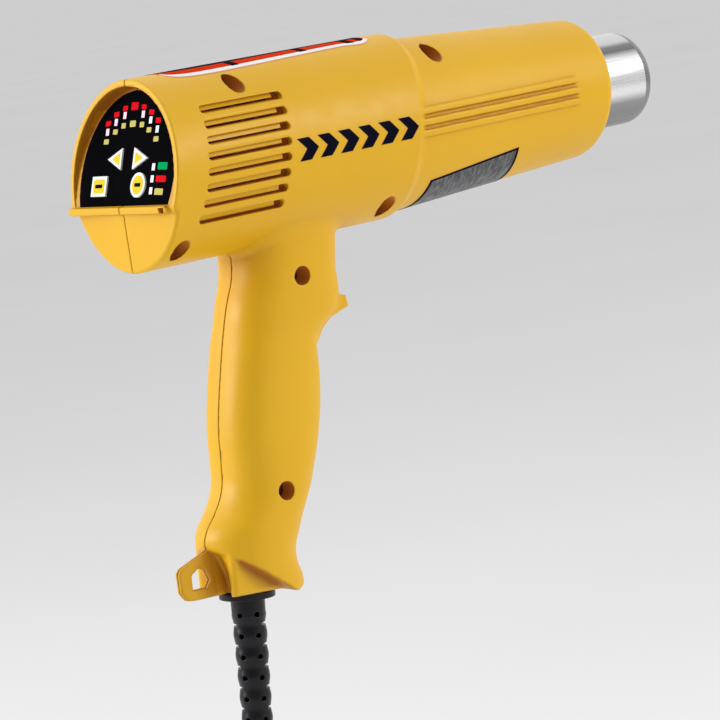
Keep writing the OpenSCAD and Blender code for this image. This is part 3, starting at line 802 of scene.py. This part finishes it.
def foot_field(x, y, z):
    """The foot, hollowed at the back, and the thin loop plate behind it."""
    hollow = 5.0 * ease(1 - np.abs(y) / 11.0) * ease((-z - 131) / 16)
    block = meet(polygon_field(x - hollow, z, FOOT), np.abs(y) - FOOT_HALF, 2.2)
    plate = meet(polygon_field(x, z, LOOP), np.abs(y) - LOOP_HALF, 0.8)
    plate = cut(plate, polygon_field(x, z, LOOP_HOLE), 0.7)
    return join(block, plate, 1.2)


def hollow_field(x, y, z):
    """Everything inside the wall: barrel, grip and the way behind the panel."""
    rho = np.hypot(y, z)
    panel = panel_depth(x, z)
    drum = both(rho - (DRUM_R - WALL), x - 66, 8.2 - panel)
    front = both(rho - front_radius(x) + WALL, 60 - x, x - 158)
    collar = both(rho - 22, 150 - x, x - 166.5)
    window = both(rho - 26.4, -1 - panel, panel - 9, 0.9 - panel_height(x, z))
    middle, deep, half = grip_section(z)
    ring = np.hypot((x - middle) / (deep - WALL), y / (half - WALL))
    grip = both((ring - 1) * 12, z + 20, -133 - z)
    return either(drum, front, collar, window, grip)


def outer_field(side):
    """The outside of one half before its openings; y is mirrored to be positive on the piece's own side."""
    lip_end = 32.2 if side > 0 else 28.0

    def field(x, y, z):
        rho = np.hypot(y, z)
        body = join(barrel_field(x, y, z), grip_field(x, y, z), 3.0)
        body = join(body, foot_field(x, y, z), 0.45)
        body = join(body, meet(polygon_field(x, z, HOOK), np.abs(y) - HOOK_HALF, 1.3), 1.5)
        body = join(body, box_field(x, y, z, (-38.6, -1, -12.2), (-30, lip_end, -9.5), 0.8), 0.4)
        panel = panel_depth(x, z)
        body = cut(body, both(rho - 30.7, panel, PANEL_Z - z), 0.4)
        return both(body, -both(rho - 28.5, panel - 1.7, PANEL_Z - z))

    return field


def vent_cut(body, x, y, z):
    """The body less the slots in its side, each part filled by a louvre that leaves a gap under it."""
    rho = np.hypot(y, z)
    for k in range(VENTS):
        height = VENT_TOP - VENT_PITCH * k
        back = -17.3 - 0.232 * (VENT_TOP - height) + VENT_HALF
        tip = 17.4 - 0.2 * (VENT_TOP - height) - VENT_HALF
        reach = both(back - x, x - tip, 0)
        louvre = both(rho - LOUVRE_R, x - tip + 1.6, height - 0.42 - z, np.abs(x + 1.5) - 30)
        body = cut(body, both(np.hypot(reach, z - height) - VENT_HALF, 10 - y, -louvre), 0.45)
    return body


def shell_field(side):
    """One half of the housing with its wall, posts, vents and screw recesses."""
    outer = outer_field(side)

    def field(x, y, z):
        rho = np.hypot(y, z)
        solid = outer(x, y, z)
        posts = both(np.abs(rho - 29.6) - 2.1, np.abs(x + 1.5) - 1.0)
        for sx, sz in SCREWS:
            posts = either(posts, np.hypot(x - sx, z - sz) - POST_R)
        deepest = np.where(x > -18.6, 25.5, 28.2)
        grille = both(x - 18.6, -27.5 - x, np.abs(z - 1.5) - 22, 10 - y, deepest - rho)
        wall = both(solid, -hollow_field(x, y, z))
        body = vent_cut(either(wall, both(either(posts, grille), solid + 0.9)), x, y, z)
        if side < 0:
            for sx, sz in SCREWS:
                body = cut(body, both(np.hypot(x - sx, z - sz) - SCREW_R, SCREW_SEAT - y), 0.35)
            body = cut(body, box_field(x, y, z, (-40, 23.6, -11.5), (-37, 27, -10.2), 0), 0.2)
        body = cut(body, both(rho - MOUTH_R, MOUTH_FROM - x), 0.5)
        boot = np.hypot(x - BOOT_TOP[0] - (z - BOOT_TOP[1]) * BOOT_SLOPE, y) - BOOT_BORE
        return meet(both(body, -both(boot, z + 120)), SEAM_HALF - y, 0.4)

    return field


def painted_shade_of(side, points):
    """How much painted shade each point gets: full deep in recesses and slots, less in creases, on the
    skirt's underside with a painted shadow on the foot below it, on the loop plate and inside the panel rim;
    on the louvres it goes below zero, which cancels the painted nook shade, and is full again deeper in the
    slots behind them.
    """
    x, y, z = points.T
    depth = -sampled(outer_field(side), points)
    # painted shade that grows with depth under the outer skin
    deep = ease((depth - 0.1) / 0.8)
    at_vents = (np.abs(x + 4) < 23.5) & (np.abs(z - 1.5) < 21.2) & (y > 10)
    # louvres: negative painted shade that cancels the nook shade, then painted shade again deep in the slots
    louvre = -0.75 * ease((depth - 0.7) / 0.6) + 1.75 * ease((depth - 1.9) / 0.8)
    below = skirt_field(x, z)
    # painted shade on the skirt's underside
    painted_underside_shade = 0.75 * ease((0.7 - np.abs(below)) / 0.4) * (y > 8)
    # painted shadow cast by the skirt on the foot's side below it
    shadow = 0.55 * ease(1 - below / 3.5) * (below > 0) * (y > 9) * (y < 12.6)
    painted_skirt_shade = np.maximum(painted_underside_shade, shadow) * ease((-z - 120) / 6) * ease((x + 21) / 2)
    # painted shade on the loop plate
    plate = 0.3 * (x < -24) * (z < -131) * (y < 1.7)
    # painted shade on the inside of the panel rim
    painted_rim_shade = 0.35 * ease((31.3 - np.hypot(y, z)) / 0.6) * (x < -15) * (z > PANEL_Z)
    return np.where(at_vents, louvre, both(deep, painted_skirt_shade, plate, painted_rim_shade))


SHELL_LOW, SHELL_HIGH, SHELL_PITCH = (-41.3, -1.0, -154.6), (174.5, 35.2, 34.6), 0.8


def make_shell(name, node, side):
    mirror = (1, side, 1)
    # each vertex gets its painted-shade value, for the painted shade of the yellow material
    piece = field_piece(name, shell_field(side), SHELL_LOW, SHELL_HIGH, SHELL_PITCH, YELLOW,
                        lambda points: to_row(points * mirror), lambda normals: normals * mirror,
                        mirrored=side < 0, painted_shade=lambda points: painted_shade_of(side, points))
    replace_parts(piece, node)


make_shell("housing_left", "shell_left", 1)
make_shell("housing_right", "shell_right", -1)


# -------- nozzle
NOZZLE_R, NOZZLE_BORE, NOZZLE_ROLL = 17.5, 16.7, 4.6
NOZZLE_BACK, NOZZLE_OUT, NOZZLE_END = 84.7, 171, 195.2


def make_nozzle():
    """The tube: thinner inside the housing, and rolled inward at the mouth."""
    profile = [(NOZZLE_BACK, 17.2), (NOZZLE_OUT, 17.2), (NOZZLE_OUT, NOZZLE_R)]
    profile += arc(NOZZLE_END, NOZZLE_R - NOZZLE_ROLL, NOZZLE_ROLL, 90, -20, 14)
    profile += [(196.6, 11.6), (195, 12.6), (194, 14.6), (193, 16.2), (191, NOZZLE_BORE),
                (NOZZLE_BACK, NOZZLE_BORE)]
    vertices, faces = lathe(profile, 128, spot)
    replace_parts(mesh_object("nozzle_sleeve", vertices, faces, NOZZLE, 45), "nozzle_tube")


# -------- strain relief
BOOT_LEAN = math.radians(5)
BOOT_LEN = 50.0
BOOT_CELLS, BOOT_PITCH, BOOT_FIRST = 6, 7.5, 8.2
BOOT_TURN = math.radians(-37)  # the way its pairs of holes face


def boot_field(x, y, z):
    """In the boot's own frame: z runs down from the housing as negative numbers."""
    rho = np.hypot(x, y)
    aside = np.abs(x * math.cos(BOOT_TURN) + y * math.sin(BOOT_TURN))
    collar = meet(rho - 10.0, np.abs(z + 1.3) - 1.3, 0.5)
    neck = meet(rho - 6.1, np.abs(z - 4) - 4.2, 0.3)
    lug = both(rho - 8.1, np.abs(z - 6) - 1.9)
    ripple = 0.22 * np.cos(2 * math.pi * (z + BOOT_FIRST) / BOOT_PITCH)
    sleeve_r = 6.05 + z * 0.016 + np.where(z < -8.3, ripple, 0.1)
    sleeve = meet(rho - sleeve_r, np.abs(z + BOOT_LEN / 2) - BOOT_LEN / 2, 0.5)
    body = either(join(collar, sleeve, 0.8), neck, lug)
    for k in range(BOOT_CELLS):
        hole_z = -BOOT_FIRST - BOOT_PITCH * k
        hole = np.hypot(aside - 2.9, z - hole_z) - 0.85
        body = cut(body, both(hole, 4.2 - rho), 0.25)
        if k < BOOT_CELLS - 1:
            body = cut(body, both(np.abs(z - hole_z + BOOT_PITCH / 2) - 0.5, 4.4 - aside), 0.3)
    return both(body, CORD_D / MM / 2 + 0.03 - rho)


def boot_turn(normals):
    """Directions in the boot's frame to the row frame."""
    c, s = math.cos(BOOT_LEAN), math.sin(BOOT_LEAN)
    x, y, z = np.asarray(normals).T
    return np.stack([x * c + z * s, y, -x * s + z * c], 1)


def boot_place(points):
    return to_row(boot_turn(points) + (BOOT_TOP[0], 0, BOOT_TOP[1]))


def make_boot():
    low, high = (-10.6, -10.6, -BOOT_LEN - 0.8), (10.6, 10.6, 9.0)
    boot = field_piece("strain_relief_boot", boot_field, low, high, 0.36, RUBBER,
                       boot_place, boot_turn)
    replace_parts(boot, "strain_relief")


make_nozzle()
make_boot()


# -------- prints, labels and keys
def panel_point(depth, y, height):
    """A point by the key panel: depth into it, y across and height up its face."""
    c, s = math.cos(PANEL_LEAN), math.sin(PANEL_LEAN)
    return spot(PANEL_X + depth * c + height * s, y, PANEL_Z - depth * s + height * c)


def rounded(outline, radius, steps):
    """An outline with each corner replaced by an arc-like run of points."""
    out = []
    n = len(outline)
    for i, corner in enumerate(outline):
        p, a, b = (np.array(q, float) for q in (corner, outline[i - 1], outline[(i + 1) % n]))
        one, two = a - p, b - p
        one, two = one / np.linalg.norm(one), two / np.linalg.norm(two)
        start, stop = p + one * radius, p + two * radius
        for k in range(steps + 1):
            t = k / steps
            out.append(tuple((1 - t) ** 2 * start + 2 * t * (1 - t) * p + t * t * stop))
    return out


def plates(name, outlines, depth0, depth1, material, body="housing"):
    """Flat-topped plates on the key panel from depth0 to depth1, each from an outline in y and height."""
    vertices, faces = [], []
    for outline in outlines:
        base, n = len(vertices), len(outline)
        middle = np.mean(outline, axis=0)
        inner = [tuple(middle + (np.array(p) - middle) * 0.93) for p in outline]
        vertices += [panel_point(depth1, y, h) for y, h in outline]
        vertices += [panel_point(depth0 + 0.02, y, h) for y, h in outline]
        vertices += [panel_point(depth0, y, h) for y, h in inner]
        for k in range(n):
            m = (k + 1) % n
            faces.append((base + k, base + m, base + n + m, base + n + k))
            faces.append((base + n + k, base + n + m, base + 2 * n + m, base + 2 * n + k))
        faces.append(tuple(base + 2 * n + k for k in range(n)))
        faces.append(tuple(base + k for k in reversed(range(n))))
    mesh_object(name, vertices, faces, material, 35, body)


def bar(y, height, wide, tall, lean=0.0):
    """A small slanting block outline with rounded corners."""
    w, t = wide / 2, tall / 2
    return rounded([(y - w, height - t - lean), (y + w, height - t + lean), (y + w, height + t + lean),
                    (y - w, height + t - lean)], 0.35, 3)


# y, height, width and tallness of the marks over the keys; all but the first have a twin at -y
RED_ROW = [(0, 34.6, 4.2, 2.7), (5.7, 34.1, 2.9, 1.7), (10.7, 32.1, 3.1, 1.8), (15.3, 29.1, 3.1, 1.8)]
YELLOW_ROW = [(0, 28.5, 3.5, 2.2), (5.6, 28.0, 2.6, 1.9), (10.3, 26.0, 2.8, 1.8), (15.2, 22.7, 3.0, 1.8)]


def row_of_marks(row, lean):
    return [bar(side * y, h, w, t, lean * side) for y, h, w, t in row for side in (1, -1) if y or side > 0]


def panel_print(colour, outlines, material):
    plates("panel_print_" + colour, outlines, -0.06, 0.4, material)


def make_panel_prints():
    """Two rows of plain marks over the keys and three more beside the lamps."""
    red = row_of_marks(RED_ROW[:1], 0) + row_of_marks(RED_ROW[1:], -0.1)
    panel_print("red", red + [bar(-21.0, 8.9, 6.0, 2.2, 0.1)], RED_PRINT)
    yellow = row_of_marks(YELLOW_ROW, 0) + [bar(-20.6, 4.5, 5.0, 2.2, 0.1)]
    panel_print("yellow", yellow, PALE_YELLOW_PRINT)
    panel_print("green", [bar(-21.2, 13.3, 5.6, 2.5, 0.1)], GREEN_PRINT)


def grown(outline, step):
    """An outline moved in (negative) or out along its corners' bisectors."""
    points = [np.array(p, float) for p in outline]
    area = sum(a[0] * b[1] - a[1] * b[0] for a, b in zip(points, points[1:] + points[:1]))
    sign = 1 if area > 0 else -1
    out = []
    for i, p in enumerate(points):
        e0, e1 = p - points[i - 1], points[(i + 1) % len(points)] - p
        n0 = sign * np.array((e0[1], -e0[0])) / np.linalg.norm(e0)
        n1 = sign * np.array((e1[1], -e1[0])) / np.linalg.norm(e1)
        bis = (n0 + n1) / np.linalg.norm(n0 + n1)
        out.append(tuple(p + bis * step / max(0.3, float(bis @ n0))))
    return out


ARROW = [(12.1, 16.3), (3.6, 20.1), (3.6, 12.5)]
PAD_SQUARE = [(11.1, 3.5), (20.1, 3.5), (20.1, 10.5), (11.1, 10.5)]
PAD_ROUND = (-8.2, 7.0, 4.3)
KEY_TOP = -0.6


def disc(y, height, radius):
    turns = [2 * math.pi * k / 40 for k in range(40)]
    return [(y + radius * math.cos(t), height + radius * math.sin(t)) for t in turns]


def key_face(body, outline):
    plates(body + "_face", [outline], KEY_TOP - 0.06, KEY_TOP + 0.3, YELLOW_PRINT, body)


def key_mark(body, outline):
    plates(body + "_mark", [outline], KEY_TOP - 0.12, KEY_TOP, BLACK_PRINT, body)


def make_keys():
    """A yellow face on each white key and a small plain mark on two of them."""
    for body, sign in (("key_down", 1), ("key_up", -1)):
        key_face(body, rounded(grown([(sign * y, h) for y, h in ARROW], -1.05), 0.3, 4))
    key_face("key_mode", rounded(grown(PAD_SQUARE, -1.1), 0.8, 4))
    key_mark("key_mode", bar(15.6, 7.0, 4.4, 1.3))
    y, h, r = PAD_ROUND
    key_face("key_power", disc(y, h, r - 1.0))
    key_mark("key_power", bar(y, h, 3.6, 1.3))
    for node in ("button_up", "button_down", "button_mode", "button_power"):
        bevel(frame["nodes"][node], 0.00025, 2)
    for node in ("arc_leds", "status_leds"):
        bevel(frame["nodes"][node], 0.0006, 3)


FILM = 0.12  # thickness of the prints and films on the barrel


def skin(name, strips, lift, material):
    """Thin films on the barrel, each a grid of (x, turn) points, turn measured from -Y towards -Z."""
    vertices, faces = [], []
    for strip in strips:
        rows, columns = len(strip), len(strip[0])
        for level in (lift, lift - FILM):
            base = len(vertices)
            for row in strip:
                for x, turn in row:
                    z = -DRUM_R * math.sin(turn)
                    r = barrel_radius(x, z) + level
                    vertices.append(spot(x, -r * math.cos(turn), -r * math.sin(turn)))
            quads = grid_faces(rows, columns, first=base)
            faces += quads if level == lift else [quad[::-1] for quad in quads]
        top, low = base - rows * columns, base
        edge = [(0, j) for j in range(columns)] + [(i, columns - 1) for i in range(1, rows)]
        edge += [(rows - 1, j) for j in range(columns - 2, -1, -1)]
        edge += [(i, 0) for i in range(rows - 2, 0, -1)]
        ring = [i * columns + j for i, j in edge]
        for a, b in zip(ring, ring[1:] + ring[:1]):
            faces.append((top + b, top + a, low + a, low + b))
    return mesh_object(name, vertices, faces, material, 50)


def across(z):
    """The turn from -Y at which the drum's side has that height."""
    return -math.asin(z / DRUM_R)


def straight(a, b, n):
    """Even steps from one (x, turn) point to another."""
    return [(a[0] + (b[0] - a[0]) * k / n, a[1] + (b[1] - a[1]) * k / n) for k in range(n + 1)]


MARKS, MARK_FROM, MARK_PITCH = 6, 16.5, 9.0
MARK_Z, MARK_HALF, MARK_RAKE, MARK_WIDE = 0.2, 3.9, 3.6, 5.0


def make_side_mark():
    """A row of bold arrowheads along the side that point to the nozzle."""
    strips = []
    for k in range(MARKS):
        tail = MARK_FROM + MARK_PITCH * k
        tip = tail + MARK_RAKE
        for s in (1, -1):
            edge, ridge = across(MARK_Z + s * MARK_HALF), across(MARK_Z)
            outer = straight((tail, edge), (tip, ridge), 8)
            inner = straight((tail + MARK_WIDE, edge), (tip + MARK_WIDE, ridge), 8)
            strips.append([straight(a, b, 6) for a, b in zip(outer, inner)])
    skin("side_mark", strips, 0.14, BLACK_PRINT)


# half width of the film over the top along X, its bands inward from the near edge, and its blocks along X
TOP_HALF = [(-16.6, 7.5), (-15, 10.2), (-12, 11.7), (-7, 12.6), (0, 12.8), (14, 12.5), (40, 11.3),
            (58, 10.6), (70.5, 10.2), (72.5, 8.5)]
TOP_BANDS = [("pink", 0.0, 0.5, PINK_PRINT), ("white", 0.5, 3.0, WHITE_PRINT),
             ("red", 3.0, 8.2, ORANGE_RED_PRINT), ("black", 8.2, 40.0, BLACK_PRINT)]
TOP_BLOCKS = (12, 43, 64, 70)


def top_strip(start, stop, near, far):
    """Part of the film over the drum's top, between two distances in from its near edge."""
    rows = []
    for x in np.linspace(start, stop, 60 if stop - start > 10 else 3):
        half = float(through(np.array(x), TOP_HALF))
        low, high = min(-half + near, half), min(-half + far, half)
        turns = [-math.pi / 2 - math.asin((low + (high - low) * k / 8) / DRUM_R) for k in range(9)]
        rows.append([(x, t) for t in turns])
    return rows


def make_top_label():
    """Film over the top of the drum: a thin pink edge, a white and a red band and a black field."""
    for name, near, far, material in TOP_BANDS:
        strip = top_strip(TOP_HALF[0][0], TOP_HALF[-1][0], near, far)
        piece = skin("top_film_" + name, [strip], 0.16, material)
        if name == "red":
            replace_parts(piece, "top_label")
    blocks = [top_strip(x - 1.6, x + 1.6, 2.6, 8.3) for x in TOP_BLOCKS]
    skin("top_film_blocks", blocks, 0.2, BLACK_PRINT)


DATA_SLANT = math.radians(9)


def data_strip(turn0, turn1, x0, x1, rake, steps):
    """A patch of film round the front section between two turns, its ends leaning by the rake."""
    rows = []
    for i in range(steps + 1):
        share = i / steps
        turn = math.radians(turn0 + (turn1 - turn0) * share)
        start, stop = x0 + rake[0] * share, x1 + rake[1] * share
        reach = [start + (stop - start) * k / 30 for k in range(31)]
        rows.append([(x, turn - DATA_SLANT * (x - 80) / 42) for x in reach])
    return rows


def make_data_label():
    """Dark film round the underside of the front section with a plain dark border."""
    film = data_strip(43.5, 104, 81.0, 121.2, (-2, 3), 24)
    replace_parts(skin("data_film", [film], 0.16, DATA_FILM), "data_label")
    border = [data_strip(42, 43.6, 80, 122.2, (0, 0), 2), data_strip(42, 105, 80, 81.1, (-2, -2), 24),
              data_strip(42, 105, 121.1, 122.2, (3, 3), 24)]
    skin("data_film_border", border, 0.18, BLACK_PRINT)


make_panel_prints()
make_keys()
make_side_mark()
make_top_label()
make_data_label()
bevel(frame["nodes"]["control_panel"], 0.0002, 2)


# -------- floor and light
FLOOR_HALF, FLOOR_STEPS, FLOOR_DROP = 60.0, 12, 0.002


def make_floor():
    """A pale floor just under the object, in squares."""
    low = min(corner[2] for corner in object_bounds())
    ticks = np.linspace(-FLOOR_HALF, FLOOR_HALF, FLOOR_STEPS + 1)
    vertices = [(x, y, low - FLOOR_DROP) for y in ticks for x in ticks]
    mesh = bpy.data.meshes.new("floor")
    mesh.from_pydata(vertices, [], grid_faces(len(ticks), len(ticks)))
    g = Graph("floor")
    g.put("Base Color", g.blotches(3.0, 0.79, 0.81))
    g.put("Roughness", 0.9)
    mesh.materials.append(g.owner)
    placed("floor", mesh)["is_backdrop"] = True


def soft_lamp(name, place, power, size):
    lamp = bpy.data.lights.new(name, "AREA")
    lamp.shape = "DISK"
    lamp.size = size
    lamp.energy = power
    holder = placed(name, lamp)
    holder.location = place
    aim = Vector((0.06, 0, 0.05)) - Vector(place)
    holder.rotation_euler = aim.to_track_quat("-Z", "Y").to_euler()


def make_light():
    """Soft daylight, brightest behind the object, with a key from behind left and a fill from the right."""
    sky = Graph("studio", "worlds", "Background", "Generated")
    facing = sky.node("VectorMath", {0: sky.place, 1: (0.55, 0.62, 0.56)}, operation="DOT_PRODUCT")
    glow = sky.node("MapRange", {"Value": facing.outputs["Value"], "From Min": -0.9, "From Max": 0.9,
                                 "To Min": 0.12, "To Max": 1.0})
    sky.put("Strength", glow.outputs["Result"])
    sky.put("Color", (1, 1, 1))
    bpy.context.scene.world = sky.owner
    soft_lamp("key", (-1.2, 0.85, 0.55), 17, 0.8)
    soft_lamp("side", (0.95, -1.25, 0.75), 12, 0.7)
    bpy.context.scene.view_settings.view_transform = "Standard"


make_floor()
make_light()
